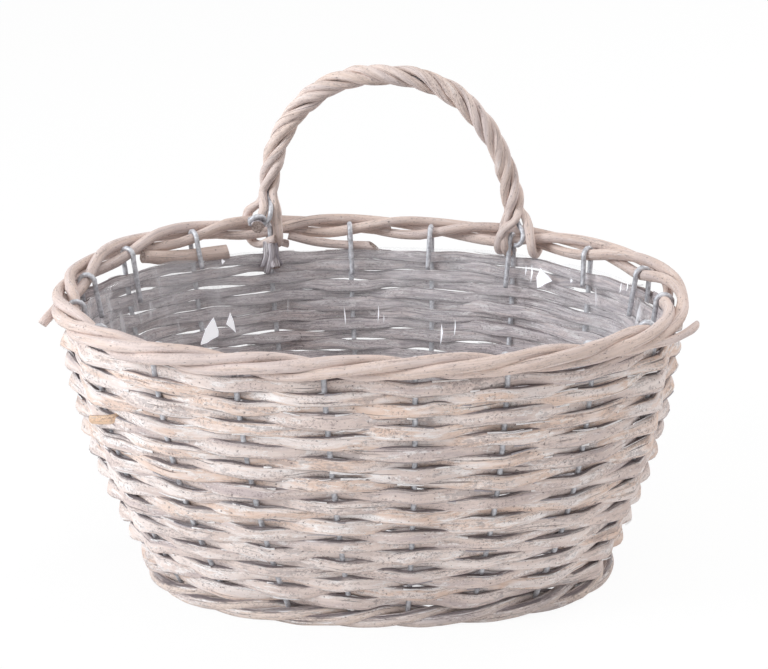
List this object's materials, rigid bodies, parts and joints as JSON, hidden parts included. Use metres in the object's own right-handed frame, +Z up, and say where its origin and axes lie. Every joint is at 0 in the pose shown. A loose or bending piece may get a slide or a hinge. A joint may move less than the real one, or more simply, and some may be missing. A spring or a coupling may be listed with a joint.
{
  "type": "wall basket",
  "caption": "Oval woven willow basket with wire stakes, a twisted rim, a film liner and a roped carrying handle on its back edge.",
  "frame": {"origin": "on the floor, under the middle of the whole width and depth", "axes": "+X to the right along the long way, +Y towards the back with the handle, +Z up"},
  "size_m": [0.4118, 0.3014, 0.3111],
  "materials": {
    "wall_willow": "split willow with a worn white wash",
    "rim_willow": "round peeled willow, greyed",
    "handle_willow": "round peeled willow, greyed",
    "base_willow": "willow, greyed",
    "galvanised_wire": "dull zinc coat",
    "liner_film": "clear soft film"
  },
  "bodies": {
    "root": {"base_stick_1": "base_willow", "base_stick_2": "base_willow", "base_stick_3": "base_willow", "base_stick_4": "base_willow", "base_stick_5": "base_willow", "base_weave": "base_willow", "foot_strand_1": "base_willow", "foot_strand_2": "base_willow", "foot_strand_3": "base_willow", "handle_core_wire": "galvanised_wire", "handle_rod_1": "handle_willow", "handle_rod_2": "handle_willow", "handle_rod_3": "handle_willow", "handle_rod_4": "handle_willow", "liner": "liner_film", "rim_strand_1": "rim_willow", "rim_strand_2": "rim_willow", "rim_strand_3": "rim_willow", "stake_01": "galvanised_wire", "stake_02": "galvanised_wire", "stake_03": "galvanised_wire", "stake_04": "galvanised_wire", "stake_05": "galvanised_wire", "stake_06": "galvanised_wire", "stake_07": "galvanised_wire", "stake_08": "galvanised_wire", "stake_09": "galvanised_wire", "stake_10": "galvanised_wire", "stake_11": "galvanised_wire", "stake_12": "galvanised_wire", "stake_13": "galvanised_wire", "stake_14": "galvanised_wire", "stake_15": "galvanised_wire", "stake_16": "galvanised_wire", "stake_17": "galvanised_wire", "stake_18": "galvanised_wire", "stake_19": "galvanised_wire", "weaver_01": "wall_willow", "weaver_02": "wall_willow", "weaver_03": "wall_willow", "weaver_04": "wall_willow", "weaver_05": "wall_willow", "weaver_06": "wall_willow", "weaver_07": "wall_willow", "weaver_08": "wall_willow", "weaver_09": "wall_willow", "weaver_10": "wall_willow", "weaver_11": "wall_willow", "weaver_12": "wall_willow", "weaver_13": "wall_willow", "weaver_14": "wall_willow", "weaver_15": "wall_willow", "weaver_16": "wall_willow", "weaver_17": "wall_willow", "weaver_18": "wall_willow", "weaver_19": "wall_willow", "weaver_20": "wall_willow", "weaver_21": "wall_willow"}
  },
  "joints": []
}
